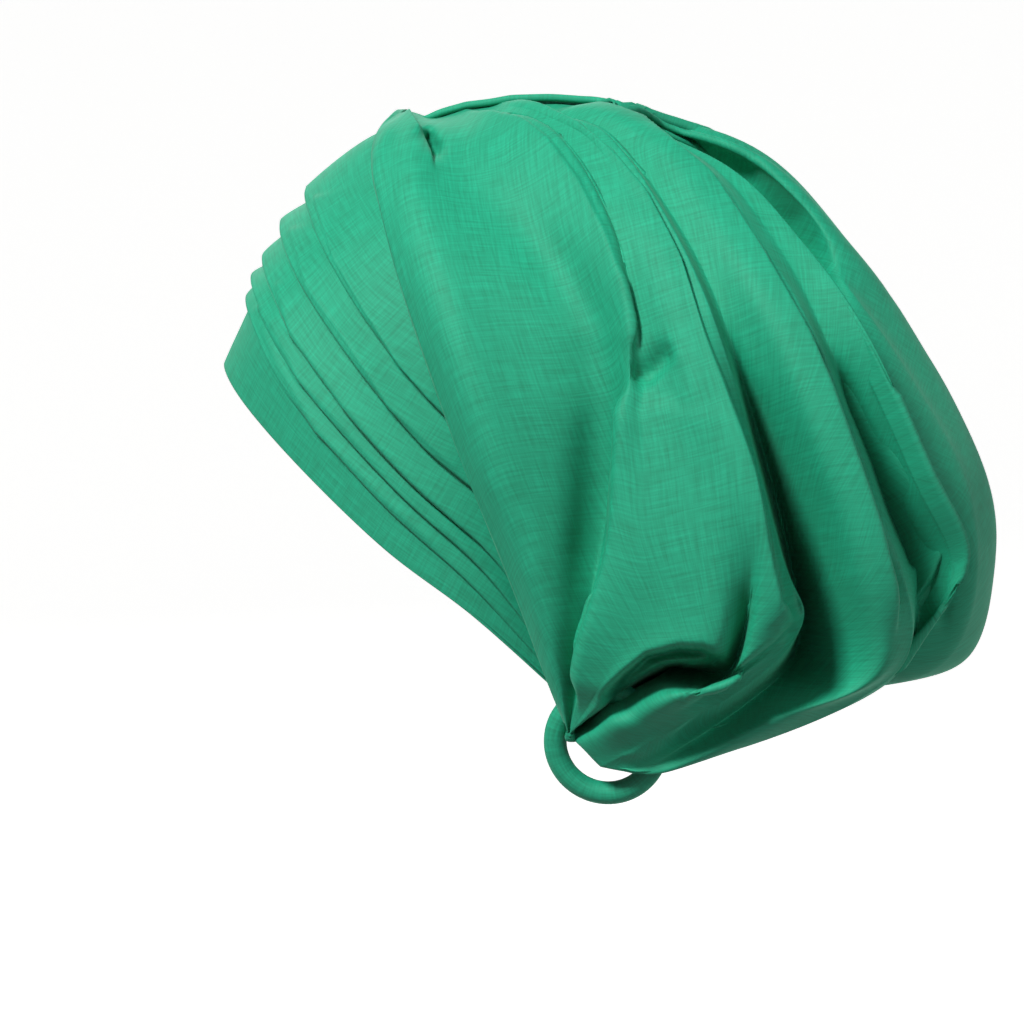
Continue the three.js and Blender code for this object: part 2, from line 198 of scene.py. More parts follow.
def woven_emerald(name):
    """Dyed plain-woven cotton, pressed flat.

    It is matt, with a faint pale sheen where the cloth turns away, and its uneven threads show as
    fine lighter and darker streaks along both ways of the cloth.
    """
    material = bpy.data.materials.new(name)
    material.use_nodes = True
    surface = material.node_tree.nodes["Principled BSDF"]
    flat = add_node(material, "ShaderNodeUVMap", {"uv_map": "flat_cloth"})
    split = add_node(material, "ShaderNodeSeparateXYZ", links={"Vector": flat.outputs["UV"]})
    threads = {}
    for way, along, across in (("warp", "X", "Y"), ("weft", "Y", "X")):
        slow = add_node(material, "ShaderNodeMath", {"operation": "MULTIPLY", 1: 1 / SLUB_LENGTH},
                        {0: split.outputs[across]})
        fast = add_node(material, "ShaderNodeMath", {"operation": "MULTIPLY", 1: 1 / THREAD_SPACING},
                        {0: split.outputs[along]})
        spot = add_node(material, "ShaderNodeCombineXYZ",
                        links={"X": fast.outputs[0], "Y": slow.outputs[0]})
        slub = add_node(material, "ShaderNodeTexNoise", {"Scale": 1.0, "Detail": 2.0, "Roughness": 0.6},
                        {"Vector": spot.outputs[0]})
        threads[way] = slub.outputs["Fac"]
    weave = add_node(material, "ShaderNodeMath", {"operation": "ADD"},
                     {0: threads["warp"], 1: threads["weft"]})
    tone = add_node(material, "ShaderNodeMapRange",
                    {"From Min": WEAVE_DARK, "From Max": WEAVE_LIGHT, "To Min": 0.0, "To Max": 1.0},
                    {"Value": weave.outputs[0]})
    colour = add_node(material, "ShaderNodeMix", {"data_type": "RGBA"})
    colour.inputs[MIX_FIRST].default_value = hex_colour(DEEP_EMERALD)
    colour.inputs[MIX_SECOND].default_value = hex_colour(BRIGHT_EMERALD)
    material.node_tree.links.new(tone.outputs["Result"], colour.inputs[0])
    bump = add_node(material, "ShaderNodeBump", {"Strength": WEAVE_BUMP, "Distance": WEAVE_RELIEF},
                    {"Height": weave.outputs[0]})
    material.node_tree.links.new(colour.outputs[MIX_RESULT], surface.inputs["Base Color"])
    material.node_tree.links.new(bump.outputs["Normal"], surface.inputs["Normal"])
    surface.inputs["Roughness"].default_value = CLOTH_ROUGHNESS
    surface.inputs["Specular IOR Level"].default_value = CLOTH_SPECULAR
    surface.inputs["Sheen Weight"].default_value = CLOTH_SHEEN
    surface.inputs["Sheen Roughness"].default_value = SHEEN_ROUGHNESS
    surface.inputs["Sheen Tint"].default_value = hex_colour(SHEEN_TINT)
    return material


# Left drape
# One length of cloth gathered along the crest, laid over the left side in deep pleats and drawn
# to one point low at the side. Its front and back edges are turned under.
LENGTH = 0.270
HEIGHT = 0.234
HALF_WIDTH = 0.096
HEAD_HALF_LENGTH = 0.095
HEAD_TO_HEM = 0.125
TUCK_WIDTH = 0.007
TUCK_DEPTH = 0.0052
DRAPE_STEPS = 150
LEFT_GRID = 0.00137
EDGE_ROLL = 0.0012
EDGE_ROLL_END = 0.0001
EDGE_ROLL_FADE = 30
CREASE_EDGE = 0.35
STATIONS = ["crest", "shoulder", "upper", "side", "lower", "turn", "under", "gather", "hem"]

# Each fold passes these stations, at shares [along from front to back, up, out from the middle].
# Round is 1 for a soft fold and 0 for a sharp crease; lap is where the right crest passes over it.
LEFT_FOLDS = [
    dict(fold="front_edge", round=0.4, lap=(0.240, 0.958),
         crest=(0.224, 0.973, -0.03), shoulder=(0.216, 0.915, 0.38), upper=(0.260, 0.769, 0.71),
         side=(0.320, 0.594, 0.84), lower=(0.383, 0.401, 0.85), turn=(0.425, 0.272, 0.82),
         under=(0.455, 0.173, 0.79), gather=(0.479, 0.095, 0.73), hem=(0.486, 0.080, 0.69)),
    dict(fold="front_bulge", round=1, lap=(0.262, 0.962),
         crest=(0.242, 0.974, -0.04), shoulder=(0.262, 0.922, 0.44), upper=(0.318, 0.774, 0.80),
         side=(0.377, 0.600, 0.94), lower=(0.432, 0.405, 0.94), turn=(0.461, 0.275, 0.90),
         under=(0.474, 0.175, 0.83), gather=(0.482, 0.094, 0.75), hem=(0.488, 0.079, 0.70)),
    dict(fold="front_hollow", round=1, lap=(0.285, 0.973),
         crest=(0.276, 0.965, -0.03), shoulder=(0.314, 0.926, 0.38), upper=(0.434, 0.764, 0.74),
         side=(0.504, 0.596, 0.85), lower=(0.532, 0.400, 0.81), turn=(0.520, 0.271, 0.79),
         under=(0.500, 0.173, 0.77), gather=(0.483, 0.091, 0.73), hem=(0.490, 0.078, 0.68)),
    dict(fold="first_pleat", round=0.2, lap=(0.312, 0.982),
         crest=(0.312, 0.979, -0.02), shoulder=(0.443, 0.934, 0.40), upper=(0.532, 0.795, 0.76),
         side=(0.565, 0.614, 0.92), lower=(0.554, 0.405, 0.95), turn=(0.532, 0.277, 0.93),
         under=(0.509, 0.177, 0.86), gather=(0.485, 0.091, 0.74), hem=(0.492, 0.077, 0.69)),
    dict(fold="first_step", round=0.3, lap=(0.319, 0.984),
         crest=(0.319, 0.978, -0.02), shoulder=(0.448, 0.928, 0.375), upper=(0.540, 0.790, 0.735),
         side=(0.580, 0.604, 0.89), lower=(0.589, 0.406, 0.97), turn=(0.582, 0.278, 0.96),
         under=(0.538, 0.177, 0.88), gather=(0.486, 0.091, 0.75), hem=(0.493, 0.077, 0.69)),
    dict(fold="side_panel", round=0.8, lap=(0.348, 0.988),
         crest=(0.348, 0.983, -0.02), shoulder=(0.486, 0.922, 0.40), upper=(0.588, 0.783, 0.75),
         side=(0.641, 0.599, 0.93), lower=(0.668, 0.399, 1.00), turn=(0.673, 0.230, 0.98),
         under=(0.596, 0.191, 0.92), gather=(0.488, 0.090, 0.75), hem=(0.494, 0.077, 0.69)),
    dict(fold="pocket", round=0.8,
         crest=(0.357, 0.984, -0.02), shoulder=(0.498, 0.927, 0.40), upper=(0.600, 0.786, 0.74),
         side=(0.664, 0.604, 0.93), lower=(0.713, 0.384, 1.00), turn=(0.688, 0.190, 0.72),
         under=(0.598, 0.162, 0.44), gather=(0.487, 0.088, 0.64), hem=(0.495, 0.074, 0.67)),
    dict(fold="lower_roll", round=1,
         crest=(0.365, 0.985, -0.02), shoulder=(0.504, 0.931, 0.39), upper=(0.608, 0.790, 0.73),
         side=(0.678, 0.607, 0.94), lower=(0.735, 0.372, 1.00), turn=(0.696, 0.183, 0.93),
         under=(0.608, 0.149, 0.90), gather=(0.503, 0.078, 0.76), hem=(0.512, 0.062, 0.71)),
    dict(fold="second_pleat", round=0.2, lap=(0.373, 0.993),
         crest=(0.373, 0.986, -0.02), shoulder=(0.510, 0.934, 0.38), upper=(0.615, 0.794, 0.73),
         side=(0.690, 0.610, 0.93), lower=(0.754, 0.361, 0.98), turn=(0.778, 0.256, 0.90),
         under=(0.693, 0.153, 0.84), gather=(0.531, 0.044, 0.74), hem=(0.545, 0.056, 0.71)),
    dict(fold="second_step", round=0.6, lap=(0.384, 0.994),
         crest=(0.384, 0.984, -0.02), shoulder=(0.517, 0.926, 0.33), upper=(0.626, 0.786, 0.66),
         side=(0.698, 0.605, 0.78), lower=(0.752, 0.360, 0.62), turn=(0.762, 0.208, 0.48),
         under=(0.701, 0.127, 0.58), gather=(0.574, 0.033, 0.71), hem=(0.590, 0.050, 0.68)),
    dict(fold="rear_panel", round=1, lap=(0.425, 0.995),
         crest=(0.425, 0.987, -0.02), shoulder=(0.568, 0.923, 0.37), upper=(0.674, 0.785, 0.67),
         side=(0.760, 0.615, 0.84), lower=(0.829, 0.379, 0.87), turn=(0.855, 0.188, 0.76),
         under=(0.738, 0.112, 0.74), gather=(0.609, 0.033, 0.70), hem=(0.622, 0.058, 0.64)),
    dict(fold="third_pleat", round=0.2, lap=(0.456, 0.993),
         crest=(0.456, 0.985, -0.02), shoulder=(0.624, 0.907, 0.34), upper=(0.721, 0.778, 0.61),
         side=(0.800, 0.629, 0.79), lower=(0.870, 0.423, 0.82), turn=(0.906, 0.228, 0.69),
         under=(0.835, 0.134, 0.64), gather=(0.673, 0.058, 0.66), hem=(0.665, 0.085, 0.56)),
    dict(fold="third_step", round=0.5, lap=(0.467, 0.992),
         crest=(0.467, 0.983, -0.02), shoulder=(0.636, 0.901, 0.29), upper=(0.738, 0.775, 0.54),
         side=(0.808, 0.624, 0.66), lower=(0.878, 0.416, 0.52), turn=(0.910, 0.282, 0.42),
         under=(0.880, 0.163, 0.53), gather=(0.734, 0.088, 0.58), hem=(0.690, 0.105, 0.48)),
    dict(fold="rear_edge", round=0.6,
         crest=(0.487, 0.978, -0.02), shoulder=(0.660, 0.897, 0.29), upper=(0.761, 0.791, 0.50),
         side=(0.847, 0.661, 0.64), lower=(0.925, 0.469, 0.62), turn=(0.970, 0.337, 0.50),
         under=(0.911, 0.225, 0.50), gather=(0.806, 0.124, 0.52), hem=(0.700, 0.118, 0.38)),
]


def place(share):
    """The place at these shares of the wrap's length, height and half width."""
    along, up, out = share
    return np.array((out * HALF_WIDTH, along * LENGTH - HEAD_HALF_LENGTH, up * HEIGHT - HEAD_TO_HEM))


def fold_lines(lines, steps, level):
    """Smooth lines through the folds' stations: an array of fold, step and place.

    Where they start level, they leave the crest as if the cloth went on over it.
    """
    lines = np.asarray(lines)
    spans = lines.shape[1] - 1
    share = np.linspace(0, 1, steps + 1) * spans
    span = np.minimum(share.astype(int), spans - 1)
    w = (share - span)[None, :, None]
    first = lines[:, :1].copy()
    if level:
        first[:, 0, 0] = 2 * lines[:, 0, 0] - lines[:, 1, 0]
        first[:, 0, 1:] = lines[:, 1, 1:]
    padded = np.concatenate([first, lines, lines[:, -1:]], axis=1)
    a, b, c, d = (padded[:, span + i] for i in range(4))
    return ((-0.5 * w + w ** 2 - 0.5 * w ** 3) * a + (1 - 2.5 * w ** 2 + 1.5 * w ** 3) * b
            + (0.5 * w + 2 * w ** 2 - 1.5 * w ** 3) * c + (-0.5 * w ** 2 + 0.5 * w ** 3) * d)


def cloth_between(lines, rounds, parts):
    """The cloth across the folds: an array of column, step and place, rounded or creased at each fold."""
    last = len(lines) - 1
    columns = []
    for k in range(last):
        a, b, c, d = (lines[min(max(k + i, 0), last)] for i in (-1, 0, 1, 2))
        chord = c - b
        reach = 1.5 * np.linalg.norm(chord, axis=1, keepdims=True)
        slopes = []
        for before, after, soft in ((a, c, rounds[k]), (b, d, rounds[k + 1])):
            slope = chord + soft * ((after - before) / 2 - chord)
            length = np.maximum(np.linalg.norm(slope, axis=1, keepdims=True), 1e-9)
            slopes.append(slope * np.minimum(1, reach / length))
        for i in range(parts[k] + (k == last - 1)):
            w = i / parts[k]
            columns.append((2 * w ** 3 - 3 * w ** 2 + 1) * b + (w ** 3 - 2 * w ** 2 + w) * slopes[0]
                           + (3 * w ** 2 - 2 * w ** 3) * c + (w ** 3 - w ** 2) * slopes[1])
    return np.array(columns)


def outward(face, flip):
    """Unit normals of a grid of places."""
    normal = np.cross(np.gradient(face, axis=0), np.gradient(face, axis=1))
    normal /= np.maximum(np.linalg.norm(normal, axis=2, keepdims=True), 1e-12)
    return -normal if flip else normal


def photo_place(face):
    """Where the camera sees these places, in the photograph's pixels."""
    depth = CAMERA_DISTANCE - face @ np.array(back)
    right = (face @ np.array(across_view) - CENTRE_RIGHT) * CAMERA_DISTANCE / depth
    up = (face @ np.array(up_view) + CENTRE_DOWN) * CAMERA_DISTANCE / depth
    return np.stack([PHOTO_PIXELS / 2 + right / PIXEL, PHOTO_PIXELS / 2 - up / PIXEL], axis=-1)


def press_creases(face, flip, creases):
    """Raises the cloth along these creases, by their height in millimetres.

    A ridge is raised on both sides of its line. A lap is raised on the left of a line that runs down
    the picture, with a sharp edge at the line, and leans over the line by its lean. A slit
    and a drop have these two shapes too, but are pressed straight away from the camera.
    """
    normal = outward(face, flip)
    seen = photo_place(face)
    push = np.zeros(face.shape[:2])
    lean = np.zeros(face.shape)
    for row in creases:
        line = np.array(row["line"], dtype=float)
        near = np.full(face.shape[:2], np.inf)
        signed = np.zeros(face.shape[:2])
        share = np.zeros(face.shape[:2])
        over = np.zeros(face.shape)
        lengths = np.linalg.norm(np.diff(line, axis=0), axis=1)
        done = 0.0
        for a, b, length in zip(line, line[1:], lengths):
            way = (b - a) / length
            off = seen - a
            along = np.clip(off @ way, 0, length)
            gap = np.linalg.norm(off - along[..., None] * way, axis=2) * PIXEL * 1000
            closer = gap < near
            near[closer] = gap[closer]
            side = np.sign(way[0] * off[..., 1] - way[1] * off[..., 0])
            signed[closer] = (side * gap)[closer]
            share[closer] = ((done + along) / lengths.sum())[closer]
            over[closer] = way[1] * np.array(across_view) + way[0] * np.array(up_view)
            done += length
        start, end = row.get("taper", (0.2, 0.2))
        taper = np.clip(share / max(start, 1e-3), 0, 1) * np.clip((1 - share) / max(end, 1e-3), 0, 1)
        taper = taper * taper * (3 - 2 * taper)
        kind = row.get("kind", "ridge")
        if kind in ("ridge", "slit"):
            shape = np.exp(-(near / row["width"]) ** 2)
        else:
            step = np.clip(signed / row.get("edge", CREASE_EDGE), -30, 30)
            shape = np.exp(-near / row["width"]) / (1 + np.exp(-step))
        if kind in ("slit", "drop"):
            lean += (row["height"] / 1000 * shape * taper)[..., None] * np.array(back)
            continue
        push += row["height"] / 1000 * shape * taper
        lean += over * (row.get("lean", 0) / 1000 * shape * taper)[..., None]
    # Creases fade out where the cloth turns away from the camera.
    facing = np.clip((normal @ np.array(back)) * 4 + 1, 0, 1)
    return face + (normal * push[..., None] + lean) * facing[..., None]


def run_lengths(grid, axis):
    """How far along the cloth each place of the grid lies, from the grid's first row or column."""
    runs = np.cumsum(np.linalg.norm(np.diff(grid, axis=axis), axis=2), axis=axis)
    return np.concatenate([np.zeros_like(runs.take([0], axis=axis)), runs], axis=axis)


def cloth_sheet(name, face, smooth, material, flip):
    """A sheet of cloth on this grid of places, with a wall's thickness inwards.

    Its UV map is the flat cloth, measured on the same grid before the creases were pressed.
    """
    wide, tall = face.shape[:2]
    across = run_lengths(smooth, 0)
    along = run_lengths(smooth, 1)
    sheet = bmesh.new()
    bmesh.ops.create_grid(sheet, x_segments=wide - 1, y_segments=tall - 1, size=0.5)
    flat = sheet.loops.layers.uv.new("flat_cloth")
    where = {}
    for vert in sheet.verts:
        i = round((vert.co.x + 0.5) * (wide - 1))
        j = round((vert.co.y + 0.5) * (tall - 1))
        where[vert] = (i, j)
    for vert, (i, j) in where.items():
        vert.co = face[i, j]
    for loop in (loop for patch in sheet.faces for loop in patch.loops):
        i, j = where[loop.vert]
        loop[flat].uv = (across[i, j], along[i, j])
    if flip:
        bmesh.ops.reverse_faces(sheet, faces=sheet.faces)
    piece = add_object(name, sheet, material)
    wall = piece.modifiers.new("cloth_thickness", "SOLIDIFY")
    wall.thickness = CLOTH_THICKNESS
    wall.offset = -1
    return piece


def evened(ways, reach=10):
    """Directions along an edge, averaged with their neighbours."""
    padded = np.pad(ways, ((reach, reach), (0, 0)), mode="edge")
    total = sum(padded[i:i + len(ways)] for i in range(2 * reach + 1))
    return total / np.linalg.norm(total, axis=1, keepdims=True)


def rolled_edge(face, flip, last, turns=6):
    """The grid with its crest edge rolled under by half a turn, up to its last column."""
    column = np.arange(len(face))[:, None]
    fade = np.clip(np.minimum(column, last - column) / EDGE_ROLL_FADE, 0, 1)
    radius = EDGE_ROLL_END + EDGE_ROLL * fade
    normal = evened(outward(face, flip)[:, 0])
    away = evened(face[:, 0] - face[:, 1])
    rolled = []
    for turn in np.linspace(math.pi, 0, turns, endpoint=False):
        rolled.append(face[:, 0] + radius * (math.sin(turn) * away - (1 - math.cos(turn)) * normal))
    return np.concatenate([np.stack(rolled, axis=1), face], axis=1)


def fold_parts(lines, step):
    """How many grid steps each fold's cloth takes at its widest."""
    gaps = np.linalg.norm(np.diff(lines, axis=0), axis=2).max(axis=1)
    return [max(2, int(round(gap / step))) for gap in gaps]


def turned_edge(edge, following, side):
    """The edge's stations, turned under towards the next fold."""
    inward = following - edge
    inward[:, 0] = 0
    length = np.linalg.norm(inward, axis=1, keepdims=True)
    tucked = edge + inward / length * np.minimum(TUCK_WIDTH, length * 0.5)
    return tucked - np.array((side * TUCK_DEPTH, 0, 0))


def stations(row):
    """The places that a fold passes, from the crest to its hem."""
    return np.array([place(row[name]) for name in STATIONS])


# Creases of the left side, along the photograph's pixels, with widths and heights in millimetres.
SIDE_CREASES = [
    dict(name="tongue_edge", kind="lap", width=5, height=2.5, lean=1.5, taper=(0.05, 0.3),
         line=[(406, 112), (419, 133), (431, 161), (436, 172)]),
    dict(name="tongue_pocket", kind="slit", width=3.0, height=-12, taper=(0.3, 0.35),
         line=[(421, 128), (430, 144), (441, 158)]),
    dict(name="tongue_rim", width=2.5, height=1.4, taper=(0.2, 0.5),
         line=[(395, 118), (380, 150), (377, 180), (384, 215)]),
    dict(name="first_pleat_lap", kind="lap", width=9, height=2.4, lean=1.2, taper=(0.12, 0.06),
         line=[(458, 113), (471, 112), (494, 117), (523, 129), (548, 147), (577, 183), (604, 233),
               (622, 283), (631, 322), (632, 352)]),
    dict(name="triangle_edge", kind="lap", width=12, height=3.6, lean=2.5, taper=(0.12, 0.12),
         line=[(577, 716), (591, 623), (603, 565), (613, 506), (619, 453), (621, 397), (628, 376)]),
    dict(name="pinch_hollow", width=4.5, height=-5.0, taper=(0.3, 0.3),
         line=[(676, 348), (655, 368), (634, 386)]),
    dict(name="pinch_fold", width=2.5, height=2.4, taper=(0.3, 0.3),
         line=[(640, 398), (655, 384), (684, 352)]),
    dict(name="pinch_tail", width=1.4, height=-1.2, taper=(0.3, 0.4),
         line=[(625, 400), (636, 408), (648, 419)]),
    dict(name="second_lap", kind="lap", width=10, height=3.4, lean=2.2, taper=(0.1, 0.03),
         line=[(478, 113), (503, 105), (521, 107), (546, 115), (580, 133), (612, 160), (642, 197),
               (678, 264), (703, 330), (721, 377), (738, 427), (751, 471), (762, 521), (773, 570),
               (779, 600), (795, 620)]),
    dict(name="second_valley", kind="slit", width=4, height=-10, taper=(0.35, 0.2),
         line=[(705, 300), (746, 400), (773, 480), (788, 545), (799, 590), (806, 628), (797, 655),
               (768, 680)]),
    dict(name="second_turn", kind="drop", width=6, height=-10, taper=(0.3, 0.1),
         line=[(672, 716), (704, 696), (728, 676), (745, 665), (775, 642), (798, 618)]),
    dict(name="second_drop", kind="drop", width=9, height=-11, taper=(0.1, 0.5),
         line=[(799, 622), (779, 600), (773, 570), (762, 521), (751, 471), (738, 427), (721, 377)]),
    dict(name="third_drop", kind="drop", width=6, height=-8, taper=(0.1, 0.4),
         line=[(893, 630), (896, 612), (883, 565), (874, 529), (860, 485), (842, 433), (826, 389),
               (804, 339), (770, 280)]),
    dict(name="third_lap", kind="lap", width=8, height=3.4, lean=3.0, taper=(0.1, 0.1),
         line=[(546, 113), (574, 109), (599, 112), (640, 127), (707, 181), (749, 245), (804, 339),
               (826, 389), (842, 433), (860, 485), (874, 529), (883, 565), (892, 600), (896, 623),
               (892, 647)]),
    dict(name="third_valley", kind="slit", width=3.6, height=-9, taper=(0.3, 0.04),
         line=[(825, 345), (848, 403), (868, 462), (893, 515), (921, 568)]),
    dict(name="front_bulge", width=11, height=2.2, taper=(0.4, 0.3),
         line=[(425, 215), (445, 310), (475, 430), (515, 560)]),
    dict(name="front_hollow", width=9, height=-4.0, taper=(0.25, 0.2),
         line=[(485, 170), (520, 215), (560, 270), (590, 325), (600, 400), (597, 515), (583, 640)]),
    dict(name="panel_roll", width=7, height=1.6, taper=(0.3, 0.3),
         line=[(590, 160), (645, 250), (690, 380), (715, 480)]),
    dict(name="rear_roll", width=6, height=1.4, taper=(0.3, 0.3),
         line=[(720, 230), (785, 350), (815, 430), (840, 540)]),
    dict(name="pocket_lip", kind="lap", width=6, height=1.4, edge=0.8, taper=(0.3, 0.15),
         line=[(728, 672), (719, 656), (704, 649), (681, 648), (651, 656), (628, 676), (599, 708)]),
    dict(name="pocket_drop", kind="drop", width=6.5, height=-22, edge=0.5, taper=(0.15, 0.25),
         line=[(599, 708), (628, 676), (651, 656), (681, 648), (704, 649), (719, 656), (730, 674)]),
    dict(name="roll_top", kind="lap", width=5, height=2.0, lean=1.2, taper=(0.15, 0.3),
         line=[(587, 722), (622, 706), (657, 686), (678, 671), (698, 659), (713, 654), (725, 664)]),
    dict(name="roll_crease", width=1.6, height=-1.4, taper=(0.3, 0.4),
         line=[(675, 748), (681, 735), (716, 705)]),
    dict(name="roll_edge", kind="lap", width=4, height=1.2, taper=(0.2, 0.3),
         line=[(622, 752), (640, 750), (668, 741)]),
]

left_lines = [stations(row) for row in LEFT_FOLDS]
left_rounds = [row["round"] for row in LEFT_FOLDS]
left_lines = ([turned_edge(left_lines[0], left_lines[1], 1)] + left_lines
              + [turned_edge(left_lines[-1], left_lines[-2], 0.5)])
left_rounds = [1] + left_rounds + [1]
left_folds = fold_lines(left_lines, DRAPE_STEPS, level=True)
left_face = cloth_between(left_folds, left_rounds, fold_parts(left_folds, LEFT_GRID))
left_smooth = rolled_edge(left_face, True, len(left_face))
left_face = press_creases(left_face, True, SIDE_CREASES)
drape_cloth = woven_emerald("woven_emerald_drape")
left_face = rolled_edge(left_face, True, len(left_face))
left_drape = cloth_sheet("left_drape_cloth", left_face, left_smooth, drape_cloth, flip=True)
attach(left_drape, "root")
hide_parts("left_drape")


# Right drape
# The same length of cloth on the other side, crossed over the left one at the crest. It goes on
# round the back as one full bag, and its edge runs in beneath the left drape.
MIRRORED = ["front_edge", "front_bulge", "front_hollow", "first_pleat", "first_step", "side_panel",
            "second_pleat", "second_step", "rear_panel", "third_pleat", "third_step"]
RIGHT_GRID = 0.0017
CROSSING = 0.04
CREST_PLEAT = 0.020
CREST_PLEATS = 3
CREST_PLEAT_HEIGHT = 0.0012
CREST_FADE = 0.08
COLUMN_FADE = 12
TONGUE_CREASES = 3
BACK_GATHERS = 3
GATHER_HEIGHT = 0.0016
GATHER_START = 0.05
GATHER_END = 0.6

BACK_FOLDS = [
    dict(fold="back_right", round=1,
         crest=(0.483, 0.991, 0.035), shoulder=(0.668, 0.912, -0.36), upper=(0.780, 0.770, -0.52),
         side=(0.865, 0.595, -0.58), lower=(0.923, 0.407, -0.58), turn=(0.926, 0.258, -0.52),
         under=(0.880, 0.160, -0.44), gather=(0.790, 0.112, -0.38), hem=(0.664, 0.118, -0.30)),
    dict(fold="back_ridge", round=1,
         crest=(0.498, 0.988, 0.04), shoulder=(0.692, 0.903, -0.14), upper=(0.808, 0.768, -0.14),
         side=(0.914, 0.602, -0.12), lower=(0.987, 0.430, -0.08), turn=(0.997, 0.297, -0.02),
         under=(0.962, 0.168, 0.00), gather=(0.846, 0.132, 0.00), hem=(0.676, 0.122, -0.10)),
    dict(fold="back_roll", round=0.8,
         crest=(0.511, 0.982, 0.03), shoulder=(0.680, 0.880, 0.05), upper=(0.795, 0.742, 0.15),
         side=(0.894, 0.590, 0.23), lower=(0.968, 0.435, 0.31), turn=(0.980, 0.285, 0.33),
         under=(0.938, 0.174, 0.28), gather=(0.836, 0.133, 0.24), hem=(0.678, 0.124, 0.06)),
    dict(fold="back_slit", round=0.8,
         crest=(0.514, 0.962, 0.01), shoulder=(0.648, 0.836, 0.10), upper=(0.742, 0.708, 0.22),
         side=(0.852, 0.598, 0.40), lower=(0.932, 0.438, 0.44), turn=(0.952, 0.295, 0.40),
         under=(0.892, 0.200, 0.40), gather=(0.800, 0.146, 0.36), hem=(0.694, 0.130, 0.22)),
]
# The roll and the slit that the camera sees beyond the left drape's back edge.
BACK_CREASES = [
    dict(name="rear_roll", kind="lap", width=7, height=3, lean=1.0, edge=0.8, taper=(0.3, 0.3),
         line=[(965, 430), (930, 352), (885, 297), (830, 243), (780, 200), (720, 152), (640, 112)]),
    dict(name="rear_slit", kind="slit", width=4.5, height=-30, taper=(0.12, 0.3),
         line=[(622, 118), (684, 140), (742, 174), (790, 222), (822, 268), (850, 312)]),
    dict(name="bag_drop", kind="drop", width=10, height=-5, taper=(0.2, 0.5),
         line=[(880, 660), (897, 630), (916, 602), (934, 578), (945, 556), (941, 530), (923, 496),
               (900, 452), (872, 395), (842, 333)]),
    dict(name="bag_crease", width=2.2, height=-1.0, taper=(0.3, 0.5),
         line=[(951, 550), (966, 566), (980, 585)]),
    dict(name="bag_fold", width=2.5, height=-1.6, taper=(0.2, 0.5),
         line=[(945, 575), (944, 610), (942, 645)]),
]
UNDERLAP = [dict(fold="rear_edge", depth=0.014), dict(fold="third_step", depth=0.017),
            dict(fold="third_pleat", depth=0.020)]
UNDERLAP_DEPTHS = np.array((0.5, 1, 1, 0.9, 0.8, 0.6, 0.5, 0.45, 0.45))[:, None]
HOLLOW_CENTRE = np.array((0, 0.025, 0))

right_lines = []
right_rounds = []
for row in LEFT_FOLDS:
    if row["fold"] in MIRRORED:
        line = stations(row) * np.array((-1, 1, 1))
        line[0] = place((*row["lap"], CROSSING))
        right_lines.append(line)
        right_rounds.append(row["round"])
for row in BACK_FOLDS:
    right_lines.append(stations(row))
    right_rounds.append(row["round"])
for row in UNDERLAP:
    line = stations(next(fold for fold in LEFT_FOLDS if fold["fold"] == row["fold"]))
    inward = HOLLOW_CENTRE - line
    inward /= np.linalg.norm(inward, axis=1, keepdims=True)
    right_lines.append(line + inward * row["depth"] * UNDERLAP_DEPTHS)
    right_rounds.append(0.8)
right_lines = [turned_edge(right_lines[0], right_lines[1], -1)] + right_lines
right_rounds = [1] + right_rounds
right_folds = fold_lines(right_lines, DRAPE_STEPS, level=True)
right_parts = fold_parts(right_folds, RIGHT_GRID)
right_face = cloth_between(right_folds, right_rounds, right_parts)
back_end = sum(right_parts[:len(MIRRORED) + 3])
right_smooth = rolled_edge(right_face, False, back_end)
# The gathers on the crest lie in three narrow pleats along its edge.
share = np.linspace(0, 1, DRAPE_STEPS + 1)[None, :, None]
saw = (1 - (share / CREST_PLEAT) % 1) * np.clip((CREST_PLEATS * CREST_PLEAT - share) / 0.004, 0, 1)
right_face = right_face + outward(right_face, False) * saw * CREST_PLEAT_HEIGHT
# The right side's creases match the left's, without the tongue, which the left crest alone has.
mirror = np.array((-1, 1, 1))
column = np.arange(len(right_face))[:, None, None]
side_end = sum(right_parts[:len(MIRRORED)])
pressed = press_creases(right_face * mirror, True, SIDE_CREASES[TONGUE_CREASES:]) * mirror
on_side = np.clip(share / CREST_FADE, 0, 1) * np.clip((side_end - column) / COLUMN_FADE, 0, 1)
right_face += (pressed - right_face) * on_side
pressed = press_creases(right_face, False, BACK_CREASES)
right_face += (pressed - right_face) * np.clip((column - side_end) / COLUMN_FADE, 0, 1)
# Soft gathers run down the back of the bag from the crest and fade out.
gather = np.sin((column - side_end) / (back_end - side_end) * math.tau * BACK_GATHERS)
gather = gather * np.clip((GATHER_END - share) / 0.5, 0, 1) * np.clip(share / GATHER_START, 0, 1)
gather = gather * ((column > side_end) & (column < back_end))
right_face += outward(right_face, False) * gather * GATHER_HEIGHT
right_face = rolled_edge(right_face, False, back_end)
right_drape = cloth_sheet("right_drape_cloth", right_face, right_smooth, drape_cloth, flip=False)
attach(right_drape, "root")
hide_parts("right_drape")


